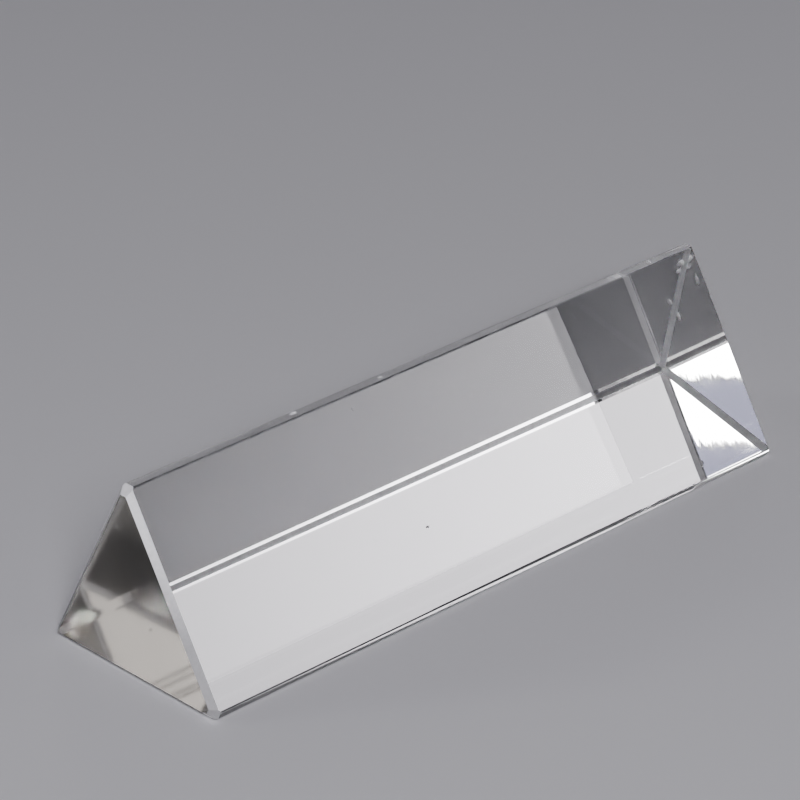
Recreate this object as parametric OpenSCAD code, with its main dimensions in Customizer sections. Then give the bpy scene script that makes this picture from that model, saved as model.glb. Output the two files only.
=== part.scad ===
// Equilateral triangular prism, ground and polished from one block of clear optical glass.
// It lies on its base face: X runs along its length, Z points up to its ridge,
// and the origin is below the middle of the prism, on its base face.

/* [Block] */
// Length of the prism, from end face to end face
prism_length = 80; // [40:1:160]
// Side of the triangular section, measured to its sharp corners, before they are bevelled
section_side = 26; // [15:0.5:50]

/* [Bevels] */
// How far the ridge and the front edge are ground back, along each of the two long faces that meet there
long_bevel = 1.25; // [0.3:0.05:2.5]
// How far the rear edge is ground back, in the same way
rear_bevel = 0.5; // [0.3:0.05:2.5]
// How far an end edge is ground back, along the end face and along the long face
end_bevel = 0.65; // [0.2:0.05:1.5]
// How far a corner is ground back, along the end face and along the long bevel
corner_bevel = 0.9; // [0.2:0.05:1.5]

/* [Hidden] */

// An equilateral triangle has three of everything, a third of a turn apart
sides = 3;
side_step = 360 / sides;
ridge_angle = 90;
half_corner = 30;
bevel_slope = 45;
rear = 2;

// From the long axis of the block to a sharp corner and to a long face
corner_reach = section_side / (2 * cos(half_corner));
face_reach = corner_reach * sin(half_corner);

// The rear edge reaches out further than the front edge, so the long axis lies this far in front of the middle
off_centre = (long_bevel - rear_bevel) / 4;

// A cutter that is wider than the whole block, so that it acts as a half-space
cutter_size = 2 * (section_side + prism_length);

glass_colour = [0.90, 0.92, 0.93, 0.45];

// Sharp corner number k of the section: 0 is the ridge, 1 the front edge and 2 the rear edge
function sharp_corner(k) =
    corner_reach * [cos(ridge_angle + k * side_step), sin(ridge_angle + k * side_step)];

// How far corner k is ground back, and how far from the long axis its bevel then lies
function bevel(k) = k == rear ? rear_bevel : long_bevel;
function bevel_reach(k) = corner_reach - bevel(k) * cos(half_corner);

// Where the bevel of corner k starts on the side that leads to a neighbouring corner
function bevel_start(k, neighbour) =
    let (along = sharp_corner(neighbour) - sharp_corner(k))
    sharp_corner(k) + along / norm(along) * bevel(k);

// The section across the length: a triangle with its three corners ground off
module section() {
    polygon([
        for (k = [0 : sides - 1])
            for (neighbour = [k - 1, k + 1])
                bevel_start(k, neighbour)
    ]);
}

// The block with its three long bevels and square ends, centred on its long axis
module square_ended_block() {
    rotate([90, 0, 90])
        linear_extrude(height = prism_length, center = true)
            section();
}

// Everything outside a sloping bevel along the +X end, on the side that faces up,
// which lies at the given reach from the long axis and is ground back by the given depth
module end_cut(reach, depth) {
    translate([prism_length / 2 - depth / 2, 0, reach - depth / 2])
        rotate([0, bevel_slope, 0])
            translate([0, 0, cutter_size / 2])
                cube(cutter_size, center = true);
}

// The bevels round both ends: one on each long face, and one on each long bevel at the corners
module end_cuts() {
    for (end = [0, 1], k = [0 : sides - 1])
        mirror([end, 0, 0])
            rotate([k * side_step, 0, 0]) {
                end_cut(bevel_reach(k), corner_bevel);
                rotate([180, 0, 0])
                    end_cut(face_reach, end_bevel);
            }
}

// The finished prism, lifted to lie on its base face and moved to the middle of the frame
module glass_prism() {
    color(glass_colour)
        translate([0, -off_centre, face_reach])
            difference() {
                square_ended_block();
                end_cuts();
            }
}

glass_prism();
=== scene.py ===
import math

import bpy
from mathutils import Matrix, Vector


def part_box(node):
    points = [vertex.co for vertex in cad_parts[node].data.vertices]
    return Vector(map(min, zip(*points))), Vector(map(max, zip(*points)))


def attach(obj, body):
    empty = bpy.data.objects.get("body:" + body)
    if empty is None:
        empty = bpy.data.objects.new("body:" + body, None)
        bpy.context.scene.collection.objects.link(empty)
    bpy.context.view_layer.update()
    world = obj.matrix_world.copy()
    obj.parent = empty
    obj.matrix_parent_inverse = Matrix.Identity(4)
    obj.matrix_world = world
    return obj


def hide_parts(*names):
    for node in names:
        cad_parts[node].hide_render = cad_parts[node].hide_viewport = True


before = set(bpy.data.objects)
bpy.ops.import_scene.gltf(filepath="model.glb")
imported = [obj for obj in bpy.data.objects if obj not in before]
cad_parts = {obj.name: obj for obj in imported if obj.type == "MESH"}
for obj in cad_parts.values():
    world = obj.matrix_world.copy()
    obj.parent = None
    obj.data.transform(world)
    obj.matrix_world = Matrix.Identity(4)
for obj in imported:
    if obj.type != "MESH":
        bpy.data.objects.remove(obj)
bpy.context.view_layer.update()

# Glass prism.
# One bar of clear optical glass, an equilateral triangle in section. The three long faces are ground and
# polished, the long edges are eased with a narrow polished bevel, and the two ends are sawn, lapped and
# bevelled by hand.
MM = 0.001
PRISM_LOW, PRISM_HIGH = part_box("glass_prism")
PRISM_LENGTH = PRISM_HIGH.x - PRISM_LOW.x
PRISM_WIDTH = PRISM_HIGH.y - PRISM_LOW.y
LONG_BEVEL = 1.25 * MM
REAR_BEVEL = 0.50 * MM
END_BEVEL = 0.65 * MM
CORNER_BEVEL = 0.90 * MM
SECTION_SIDE = PRISM_WIDTH + (LONG_BEVEL + REAR_BEVEL) / 2

# What the hand work left: rounded shoulders, a rear bevel that widens towards the far end, and smaller
# corner bevels on that end, which isn't quite square
SHOULDER_RADIUS = 0.28 * MM
REAR_SHOULDER_RADIUS = 0.12 * MM
NEAR_REAR_BEVEL = 0.56 * MM
FAR_REAR_BEVEL = 0.69 * MM
FAR_CORNER_BEVEL = 0.35 * MM
OUT_OF_SQUARE = math.radians(0.13)
FAR_END_LEAN = math.radians(0.31)


class Wire:
    """One output of a node. Arithmetic on it adds Math nodes to the same tree."""

    def __init__(self, bench, socket):
        self.bench = bench
        self.socket = socket

    def other(self, name):
        return Wire(self.bench, self.socket.node.outputs[name])

    def maths(self, operation, first, second=0.0):
        return self.bench.add("ShaderNodeMath", {"operation": operation}, {0: first, 1: second})

    def at_least(self, low):
        return self.maths("MAXIMUM", self, low)

    def at_most(self, high):
        return self.maths("MINIMUM", self, high)

    def between(self, low, high):
        """Low where the wire is 0, and high where it is 1."""
        return self * (high - low) + low

    def __add__(self, value):
        return self.maths("ADD", self, value)

    def __radd__(self, value):
        return self.maths("ADD", value, self)

    def __sub__(self, value):
        return self.maths("SUBTRACT", self, value)

    def __rsub__(self, value):
        return self.maths("SUBTRACT", value, self)

    def __mul__(self, value):
        return self.maths("MULTIPLY", self, value)

    def __rmul__(self, value):
        return self.maths("MULTIPLY", value, self)

    def __truediv__(self, value):
        return self.maths("DIVIDE", self, value)

    def __rtruediv__(self, value):
        return self.maths("DIVIDE", value, self)

    def __mod__(self, value):
        return self.maths("MODULO", self, value)

    def __gt__(self, value):
        return self.maths("GREATER_THAN", self, value)

    def __abs__(self):
        return self.maths("ABSOLUTE", self)


class NodeBench:
    """Adds nodes to one tree, each with its settings first and its sockets after."""

    def __init__(self, tree):
        self.tree = tree

    def add(self, kind, settings=None, sockets=None, output=0):
        node = self.tree.nodes.new(kind)
        for name, value in (settings or {}).items():
            setattr(node, name, value)
        for key, value in (sockets or {}).items():
            for item in value if isinstance(value, list) else [value]:
                if isinstance(item, Wire):
                    self.tree.links.new(item.socket, node.inputs[key])
                else:
                    node.inputs[key].default_value = item
        return Wire(self, node.outputs[output]) if len(node.outputs) else node


def new_material(name):
    """A material with no nodes yet, and the bench that adds them."""
    material = bpy.data.materials.new(name)
    material.use_nodes = True
    material.node_tree.nodes.clear()
    return material, NodeBench(material.node_tree)


def noise(shader, place, scale, detail):
    return shader.add("ShaderNodeTexNoise", None, {"Vector": place, "Scale": scale, "Detail": detail})


def surface(shader, sockets):
    """Ends a material in one Principled surface with the given sockets."""
    look = shader.add("ShaderNodeBsdfPrincipled", None, sockets)
    shader.add("ShaderNodeOutputMaterial", None, {"Surface": look})


# The long faces: clear crown glass, polished, with the faint marks of a wiping cloth across them
GLASS_IOR = 1.517
polished, shader = new_material("polished_glass")
on_prism = shader.add("ShaderNodeTexCoord", None, None, "Object")
wipe_place = shader.add("ShaderNodeMapping", None, {"Vector": on_prism, "Scale": (1.0, 0.2, 0.2)})
wipes = noise(shader, wipe_place, scale=150.0, detail=3.0)
surface(shader, {
    "Base Color": wipes.between(0.88, 0.92),
    "Roughness": 0.0,
    "IOR": GLASS_IOR,
    "Transmission Weight": 1.0,
})

# The end faces: lapped by hand, so wavy and a little hazy, which dims and warms what is seen through them.
# The far one is clearer, and rolls over a little towards the rear face.
COS_30 = math.cos(math.radians(30))
SIN_30 = 0.5
WAVE_HEIGHT = 0.0025 * MM
STROKE_SHARE = 0.25
LIP_START = 9.3 * MM
dull, shader = new_material("dull_end_glass")
on_prism = shader.add("ShaderNodeTexCoord", None, None, "Object")
ripple = noise(shader, on_prism, scale=260.0, detail=2.0)
stroke_place = shader.add("ShaderNodeMapping", None,
                          {"Vector": on_prism, "Rotation": (0.6, 0.0, 0.0), "Scale": (1.0, 5.0, 1.0)})
strokes = noise(shader, stroke_place, scale=500.0, detail=2.0)
haze = noise(shader, on_prism, scale=220.0, detail=4.0)
along = shader.add("ShaderNodeSeparateXYZ", None, {0: on_prism})
at_far_end = along > 0.0
rearward = along.other("Y") * COS_30 + along.other("Z") * SIN_30
lip = (rearward - LIP_START).at_least(0.0) / MM
waves = shader.add("ShaderNodeBump", None, {
    "Strength": 1.0,
    "Distance": WAVE_HEIGHT,
    "Height": ripple + strokes * STROKE_SHARE - lip * lip * at_far_end,
})
surface(shader, {
    "Base Color": (0.62, 0.595, 0.53, 1.0),
    "Roughness": haze.between(0.04, 0.12) * at_far_end.between(1.0, 0.2),
    "IOR": GLASS_IOR,
    "Transmission Weight": 1.0,
    "Normal": waves,
})

# The bevels round the ends: ground and left unpolished, so pitted and white, and hardly clear.
# On the near end a painted shade darkens their colour towards the foot.
SHADE_START = 16.0 * MM
SHADE_LENGTH = 9.0 * MM
PIT_DEPTH = 0.02 * MM
ground_glass, shader = new_material("ground_glass")
on_prism = shader.add("ShaderNodeTexCoord", None, None, "Object")
grain = noise(shader, on_prism, scale=2500.0, detail=3.0)
pits = shader.add("ShaderNodeBump", None, {"Strength": 0.4, "Distance": PIT_DEPTH, "Height": grain})
along = shader.add("ShaderNodeSeparateXYZ", None, {0: on_prism})
# Painted shade: on the near end only, the bevels' colour is darkened towards the foot
lowness = ((SHADE_START - along.other("Z")) / SHADE_LENGTH).at_least(0.0).at_most(1.0)
foot_shade = lowness * (1.0 - (along > 0.0))
surface(shader, {
    "Base Color": foot_shade.between(0.97, 0.55) * grain.between(0.88, 1.10),
    "Roughness": 0.55,
    "IOR": GLASS_IOR,
    "Transmission Weight": 0.06,
    "Normal": pits,
})

# The chips: bruised glass, crushed white where the prism was knocked, and painted bright for their glints
crushed_glass_and_glints, shader = new_material("crushed_glass_and_glints")
on_prism = shader.add("ShaderNodeTexCoord", None, None, "Object")
crumbs = noise(shader, on_prism, scale=4000.0, detail=2.0)
# Painted highlight: the chips' colour runs up past white, standing in for the glints of their broken facets
surface(shader, {
    "Base Color": crumbs.between(0.80, 1.10),
    "Roughness": 0.35,
    "IOR": GLASS_IOR,
})

# The tree that makes the prism, with an input for each size and each finish
prism_sizes = {
    "Length": PRISM_LENGTH,
    "Section Side": SECTION_SIDE,
    "Long Bevel": LONG_BEVEL,
    "Rear Bevel": REAR_BEVEL,
    "Near Rear Bevel": NEAR_REAR_BEVEL,
    "Far Rear Bevel": FAR_REAR_BEVEL,
    "Shoulder": SHOULDER_RADIUS,
    "Rear Shoulder": REAR_SHOULDER_RADIUS,
    "End Bevel": END_BEVEL,
    "Corner Bevel": CORNER_BEVEL,
    "Far Corner Bevel": FAR_CORNER_BEVEL,
    "Out of Square": OUT_OF_SQUARE,
    "Far End Lean": FAR_END_LEAN,
}
prism_finishes = {
    "Polished": polished,
    "End Faces": dull,
    "Bevels": ground_glass,
    "Chips": crushed_glass_and_glints,
}
CHIP_SEED = 7
prism_tree = bpy.data.node_groups.new("ground_prism", "GeometryNodeTree")
prism_tree.interface.new_socket("Chip Places", in_out="INPUT", socket_type="NodeSocketGeometry")
for label in prism_sizes:
    prism_tree.interface.new_socket(label, in_out="INPUT", socket_type="NodeSocketFloat")
prism_tree.interface.new_socket("Seed", in_out="INPUT", socket_type="NodeSocketInt")
for label in prism_finishes:
    prism_tree.interface.new_socket(label, in_out="INPUT", socket_type="NodeSocketMaterial")
prism_tree.interface.new_socket("Geometry", in_out="OUTPUT", socket_type="NodeSocketGeometry")
bench = NodeBench(prism_tree)
group_input = bench.add("NodeGroupInput")
size = {label: group_input.other(label) for label in prism_sizes}
finish = {label: group_input.other(label) for label in prism_finishes}


def point(x=0.0, y=0.0, z=0.0):
    return bench.add("ShaderNodeCombineXYZ", None, {0: x, 1: y, 2: z})


def turned(x=0.0, y=0.0, z=0.0):
    return bench.add("FunctionNodeEulerToRotation", None, {0: point(x, y, z)})


def moved(geometry, place, turn=None):
    sockets = {"Geometry": geometry, "Translation": place}
    if turn is not None:
        sockets["Rotation"] = turn
    return bench.add("GeometryNodeTransform", None, sockets)


def matches(value, wanted, reach=0.5):
    return bench.add("ShaderNodeMath", {"operation": "COMPARE"}, {0: value, 1: wanted, 2: reach})


def cut_away(block, cutters):
    return bench.add("GeometryNodeMeshBoolean", {"operation": "DIFFERENCE", "solver": "EXACT"},
                     {"Mesh 1": block, "Mesh 2": cutters})


# The section: a triangle with its corners cut off, the rear one less, and the edges of the cuts rounded.
# Each corner is a pair of points once it is cut, so the rear corner is then points 4 and 5.
TURN = 2 * math.pi
SIDES = 3
REAR = 2
SHOULDER_STEPS = 12
corner_reach = size["Section Side"] / math.sqrt(3)
face_reach = corner_reach / 2
index = bench.add("GeometryNodeInputIndex")
narrower = size["Long Bevel"] - size["Rear Bevel"]
bevel_here = size["Long Bevel"] - narrower * matches(index, REAR)
rear_pair = matches(index, 2 * REAR + 0.5, reach=0.6)
shoulder_here = size["Shoulder"] + (size["Rear Shoulder"] - size["Shoulder"]) * rear_pair
triangle = bench.add("GeometryNodeCurvePrimitiveCircle", {"mode": "RADIUS"},
                     {"Resolution": SIDES, "Radius": corner_reach})
cut_corners = bench.add("GeometryNodeFilletCurve", {"mode": "POLY"},
                        {"Curve": triangle, "Count": 1, "Radius": bevel_here * math.tan(math.radians(30))})
section = bench.add("GeometryNodeFilletCurve", {"mode": "POLY"}, {
    "Curve": cut_corners,
    "Count": SHOULDER_STEPS,
    "Radius": shoulder_here,
    "Limit Radius": True,
})
upright = moved(section, point(), turned(z=-TURN / 4))

# The bar: that section drawn along the length
half_length = size["Length"] / 2
length_line = bench.add("GeometryNodeCurvePrimitiveLine", None, {
    "Start": point(x=-1 * half_length, z=face_reach),
    "End": point(x=half_length, z=face_reach),
})
level_line = bench.add("GeometryNodeSetCurveNormal", {"mode": "Z_UP"}, {"Curve": length_line})
bar = bench.add("GeometryNodeCurveToMesh", None,
                {"Curve": level_line, "Profile Curve": upright, "Fill Caps": True})

# The wheel that grinds the bevels round the ends: a block at 45 degrees, once for each side of each end
SIN_45 = math.sin(math.radians(45))
wheel_size = size["Length"] * 2
wheel = bench.add("GeometryNodeMeshCube", None, {"Size": point(wheel_size, wheel_size, wheel_size)})


def end_grinding(reach, depth, first_turn, rear_slip=0.0, far_slip=0.0):
    """The wheel held against each side of both ends.

    The near end is a half turn on, so the rear edge comes one side earlier there. Rear slip is how much
    further out the wheel is held at the rear edge, and far slip how much further along at the far end.
    """
    push = wheel_size * (SIN_45 / 2) - depth / 2
    held = moved(wheel, point(x=half_length + push, z=reach + push), turned(y=TURN / 8))
    side = index % SIDES
    near = index > SIDES - 0.5
    slip = matches(side + near, REAR) * rear_slip
    place = point((1.0 - near) * far_slip, slip * COS_30, face_reach - slip / 2)
    places = bench.add("GeometryNodePoints", None, {"Count": 2 * SIDES, "Position": place})
    return bench.add("GeometryNodeInstanceOnPoints", None, {
        "Points": places,
        "Instance": held,
        "Rotation": turned(x=side * (TURN / SIDES) + first_turn, z=near * math.pi),
    })


bevel_reach = corner_reach - size["Long Bevel"] * COS_30
face_bevels = end_grinding(face_reach, size["End Bevel"], first_turn=math.pi)
corner_bevels = end_grinding(bevel_reach, size["Corner Bevel"], first_turn=0.0, rear_slip=narrower * COS_30,
                             far_slip=size["Corner Bevel"] - size["Far Corner Bevel"])

# The far end is a little out of square, so a leaning block takes a sliver off it
lean_push = wheel_size / 2 + size["Section Side"] / 2 * size["Out of Square"] * -1
leaning = moved(wheel, point(x=half_length + lean_push),
                turned(y=size["Far End Lean"] * -1, z=size["Out of Square"]))

# The rear edge was held askew to the wheel, so its bevel widens towards the far end
rear_reach = corner_reach - (size["Near Rear Bevel"] + size["Far Rear Bevel"]) * (COS_30 / 2)
rear_slope = (size["Far Rear Bevel"] - size["Near Rear Bevel"]) * COS_30 / size["Length"]
askew = moved(wheel, point(z=rear_reach + wheel_size / 2), turned(y=rear_slope))
rear_grinding = moved(askew, point(z=face_reach), turned(x=REAR * TURN / SIDES))

# The rear edge reaches out further than the front edge, so the bar moves forward to lie in the middle
ground = cut_away(bar, [face_bevels, corner_bevels, leaning, rear_grinding])
centred = moved(ground, point(y=narrower / -4))

# The chips: a rough pebble at each listed point, sized by the point, bites into the glass
PEBBLE_DENT = 0.6
pebble = bench.add("GeometryNodeMeshIcoSphere", None, {"Radius": 1.0, "Subdivisions": 3})
rough = bench.add("ShaderNodeTexNoise", {"noise_dimensions": "4D"},
                  {"Scale": 0.9, "Detail": 2.0, "W": group_input.other("Seed")})
outward = bench.add("GeometryNodeInputNormal")
dent = bench.add("ShaderNodeVectorMath", {"operation": "SCALE"},
                 {0: outward, "Scale": rough.between(-PEBBLE_DENT, PEBBLE_DENT)})
rough_pebble = bench.add("GeometryNodeSetPosition", None, {"Geometry": pebble, "Offset": dent})
marked_pebble = bench.add("GeometryNodeStoreNamedAttribute", {"data_type": "BOOLEAN", "domain": "FACE"},
                          {"Geometry": rough_pebble, "Name": "chipped", "Value": True})
chip_size = bench.add("GeometryNodeInputNamedAttribute", {"data_type": "FLOAT_VECTOR"},
                      {"Name": "chip_size"})
chips = bench.add("GeometryNodeInstanceOnPoints", None, {
    "Points": group_input.other("Chip Places"),
    "Instance": marked_pebble,
    "Scale": chip_size,
})
chipped = cut_away(centred, [chips])

# Each face takes the finish that the maker gave it: polished along the length, duller on the ends,
# ground on the bevels, and crushed in the chips, with a painted highlight
END_FACING = 0.98
BEVEL_FACING = 0.2
normal = bench.add("ShaderNodeSeparateXYZ", None, {0: bench.add("GeometryNodeInputNormal")})
endwise = abs(normal)
end_face = endwise > END_FACING
end_bevel = (endwise > BEVEL_FACING) * (1.0 - end_face)
chip_face = bench.add("GeometryNodeInputNamedAttribute", {"data_type": "BOOLEAN"}, {"Name": "chipped"})
whole = bench.add("GeometryNodeRealizeInstances", None, {"Geometry": chipped})
flat = bench.add("GeometryNodeSetShadeSmooth", None, {"Geometry": whole, "Shade Smooth": False})
finished = bench.add("GeometryNodeSetMaterial", None, {"Geometry": flat, "Material": finish["Polished"]})
for label, faces in (("End Faces", end_face), ("Bevels", end_bevel), ("Chips", chip_face)):
    finished = bench.add("GeometryNodeSetMaterial", None,
                         {"Geometry": finished, "Selection": faces, "Material": finish[label]})
bench.add("NodeGroupOutput", None, {"Geometry": finished})

# Where the glass is nicked: the place of each chip, and how far the pebble reaches from there along, across
# and up, in millimetres
CHIPS = [
    ((-17.7, 0.0, 21.6), (0.55, 0.35, 0.30)),
    ((-6.0, -0.2, 21.6), (0.40, 0.30, 0.25)),
    ((39.2, 2.35, 18.4), (0.62, 0.50, 0.60)),
    ((39.1, 3.1, 17.0), (0.42, 0.42, 0.42)),
    ((40.0, 0.0, 16.8), (0.30, 0.45, 0.85)),
    ((39.9, 6.1, 9.5), (0.20, 0.35, 0.50)),
    ((-40.0, -11.2, 0.3), (0.70, 0.55, 0.50)),
    ((-1.5, 3.4, 0.0), (0.22, 0.22, 0.10)),
]
chip_places = bpy.data.meshes.new("chip_places")
chip_places.from_pydata([Vector(place) * MM for place, extent in CHIPS], [], [])
chip_extent = chip_places.attributes.new("chip_size", "FLOAT_VECTOR", "POINT")
for stored, (place, extent) in zip(chip_extent.data, CHIPS):
    stored.vector = Vector(extent) * MM

# The finished prism: what the tree makes of the chips' places, as a plain mesh
prism = bpy.data.objects.new("prism_glass", chip_places)
bpy.context.scene.collection.objects.link(prism)
growth = prism.modifiers.new("ground_prism", "NODES")
growth.node_group = prism_tree
tree_sockets = prism_tree.interface.items_tree
identifiers = {socket.name: socket.identifier for socket in tree_sockets if socket.in_out == "INPUT"}
for label, value in {**prism_sizes, "Seed": CHIP_SEED, **prism_finishes}.items():
    growth[identifiers[label]] = value
depsgraph = bpy.context.evaluated_depsgraph_get()
prism_mesh = bpy.data.meshes.new_from_object(prism.evaluated_get(depsgraph), preserve_all_data_layers=True,
                                             depsgraph=depsgraph)
prism.modifiers.clear()
prism.data = prism_mesh
prism_mesh.name = "prism_glass"
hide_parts("glass_prism")
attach(prism, "root")

# Floor.
# A plain pale table top, painted matt. The prism lies on it unfixed, and a breath of air stays between the
# polished base and the paint.
AIR_GAP = 0.1 * MM
FLOOR_SIZE = 6.0
half_floor = FLOOR_SIZE / 2
floor_corners = [
    (-half_floor, -half_floor, -AIR_GAP),
    (half_floor, -half_floor, -AIR_GAP),
    (half_floor, half_floor, -AIR_GAP),
    (-half_floor, half_floor, -AIR_GAP),
]
floor_mesh = bpy.data.meshes.new("floor")
floor_mesh.from_pydata(floor_corners, [], [(0, 1, 2, 3)])
floor = bpy.data.objects.new("floor", floor_mesh)
bpy.context.scene.collection.objects.link(floor)
table_top, shader = new_material("pale_table_top")
surface(shader, {
    "Base Color": (0.80, 0.80, 0.81, 1.0),
    "Roughness": 0.8,
    "Specular IOR Level": 0.2,
})
floor_mesh.materials.append(table_top)

# Studio light.
# A soft key light stands above and behind the camera, and a wide panel at the right front is mirrored in the
# front face. The panel and the cards at the back are what the lower half of the glass and the far end show.
SUBJECT = Vector((0.0, -(LONG_BEVEL - REAR_BEVEL) / 4, SECTION_SIDE / math.sqrt(3) / 2))
X_AXIS = Vector((1.0, 0.0, 0.0))
Y_AXIS = Vector((0.0, 1.0, 0.0))
Z_AXIS = Vector((0.0, 0.0, 1.0))


def panel(name, centre, across, upward, wide, tall, radiance, colour, start=1.0, end=1.0, spread=180.0):
    """A flat soft light that faces away from across x upward, with a beam of the given spread in degrees.

    Start and end are the shares of its light at the two ends of its width.
    """
    lamp = bpy.data.lights.new(name, "AREA")
    lamp.spread = math.radians(spread)
    lamp.shape = "RECTANGLE"
    lamp.size = wide
    lamp.size_y = tall
    lamp.energy = radiance * math.pi * wide * tall
    lamp.color = colour
    lamp.use_nodes = True
    lamp.node_tree.nodes.clear()
    glow = NodeBench(lamp.node_tree)
    on_lamp = glow.add("ShaderNodeNewGeometry", None, None, "Parametric")
    along_width = glow.add("ShaderNodeSeparateXYZ", None, {0: on_lamp})
    light = glow.add("ShaderNodeEmission", None, {"Strength": along_width.between(start, end)})
    glow.add("ShaderNodeOutputLight", None, {"Surface": light})
    holder = bpy.data.objects.new(name, lamp)
    bpy.context.scene.collection.objects.link(holder)
    holder.matrix_world = Matrix((across, upward, across.cross(upward))).transposed().to_4x4()
    holder.location = centre


def facing_panel(name, azimuth, elevation, distance, **light):
    """A panel that faces the prism, at an azimuth from +Y towards +X and an elevation, in degrees."""
    a = math.radians(azimuth)
    e = math.radians(elevation)
    toward = Vector((math.sin(a) * math.cos(e), math.cos(a) * math.cos(e), math.sin(e)))
    across = Z_AXIS.cross(toward).normalized()
    panel(name, SUBJECT + toward * distance, across, toward.cross(across), **light)


facing_panel("key_light", azimuth=-142.0, elevation=36.0, distance=1.2,
             wide=0.40, tall=0.40, radiance=15.5, colour=(1.0, 0.985, 1.04))

# The front panel is tilted down towards the prism, and its light fades along its width
PANEL_TILT = math.radians(26.0)
PANEL_DISTANCE = 4.0
PANEL_AIM = 10.0 * MM
PANEL_RIGHT = 3.335
PANEL_BOTTOM = -0.225
PANEL_WIDE = 0.80
PANEL_TALL = 0.60
panel_facing = Vector((0.0, math.cos(PANEL_TILT), -math.sin(PANEL_TILT)))
panel_up = Vector((0.0, math.sin(PANEL_TILT), math.cos(PANEL_TILT)))
panel_middle = (Z_AXIS * PANEL_AIM - panel_facing * PANEL_DISTANCE
                + X_AXIS * (PANEL_RIGHT - PANEL_WIDE / 2)
                + panel_up * (PANEL_BOTTOM + PANEL_TALL / 2))
panel("front_panel", panel_middle, X_AXIS, panel_up,
      wide=PANEL_WIDE, tall=PANEL_TALL, radiance=3.4, colour=(1.0, 0.98, 1.02), start=0.35)

# At the back stand a card at the right, and at the left a bright panel with a dim bluish card above it
facing_panel("back_right_card", azimuth=43.0, elevation=29.5, distance=0.8,
             wide=0.24, tall=0.20, radiance=1.11, colour=(1.0, 0.975, 1.02), end=0.50)
facing_panel("back_left_panel", azimuth=-46.5, elevation=23.85, distance=2.4,
             wide=0.36, tall=0.24, radiance=8.0, colour=(1.0, 1.0, 1.0))
facing_panel("back_left_card", azimuth=-46.5, elevation=30.71, distance=2.4,
             wide=0.42, tall=0.33, radiance=0.55, colour=(0.78, 0.78, 1.0))

# A narrow lamp makes a pool of light at the foot of the far end, which the near end shows through the glass
FOOT_LAMP_BEYOND = 3.4 * MM
FOOT_LAMP_REARWARD = 2.0 * MM
FOOT_LAMP_HEIGHT = 60.0 * MM
foot_lamp_place = Vector((PRISM_HIGH.x + FOOT_LAMP_BEYOND, FOOT_LAMP_REARWARD, FOOT_LAMP_HEIGHT))
panel("far_foot_light", foot_lamp_place, X_AXIS, Y_AXIS,
      wide=4.6 * MM, tall=4.0 * MM, radiance=1.7, colour=(0.92, 0.93, 1.0), spread=5.0)

# A dim card behind the camera keeps the far stretch of the rear edge from going black
facing_panel("front_left_card", azimuth=-137.5, elevation=18.0, distance=0.8,
             wide=0.10, tall=0.10, radiance=0.35, colour=(1.0, 0.98, 1.0))

# The room is nearly dark, and light may pass through many faces of the glass before it is given up
room = bpy.data.worlds.new("dim_room")
room.use_nodes = True
room.node_tree.nodes["Background"].inputs["Color"].default_value = (0.035, 0.035, 0.038, 1.0)
bpy.context.scene.world = room
bpy.context.scene.view_settings.view_transform = "AgX"
bpy.context.scene.view_settings.look = "AgX - High Contrast"
bpy.context.scene.cycles.max_bounces = 32
bpy.context.scene.cycles.sample_clamp_indirect = 0.0
bpy.context.scene.cycles.glossy_bounces = 16
bpy.context.scene.cycles.transmission_bounces = 16

# Camera.
# It stands to the left of the prism and above it, at the photograph's angle, with a long lens. It is turned a
# little about its line of sight, and moved aside so that the prism lies where the photograph has it.
VIEW_AZIMUTH = math.radians(-42.4357)
VIEW_ELEVATION = math.radians(26.4667)
VIEW_ROLL = math.radians(-1.3463)
VIEW_DISTANCE = 423.81 * MM
SHIFT_RIGHT = -2.696 * MM
SHIFT_UP = 8.229 * MM
back = Vector((math.sin(VIEW_AZIMUTH) * math.cos(VIEW_ELEVATION),
               -math.cos(VIEW_AZIMUTH) * math.cos(VIEW_ELEVATION),
               math.sin(VIEW_ELEVATION)))
level_right = Vector((math.cos(VIEW_AZIMUTH), math.sin(VIEW_AZIMUTH), 0.0))
level_up = back.cross(level_right)
right = level_right * math.cos(VIEW_ROLL) + level_up * math.sin(VIEW_ROLL)
up = level_up * math.cos(VIEW_ROLL) - level_right * math.sin(VIEW_ROLL)
lens = bpy.data.cameras.new("camera")
lens.sensor_width = 36.0
lens.lens = 183.23
camera = bpy.data.objects.new("camera", lens)
bpy.context.scene.collection.objects.link(camera)
camera.matrix_world = Matrix((right, up, back)).transposed().to_4x4()
camera.location = SUBJECT + back * VIEW_DISTANCE + right * SHIFT_RIGHT + up * SHIFT_UP
bpy.context.scene.camera = camera
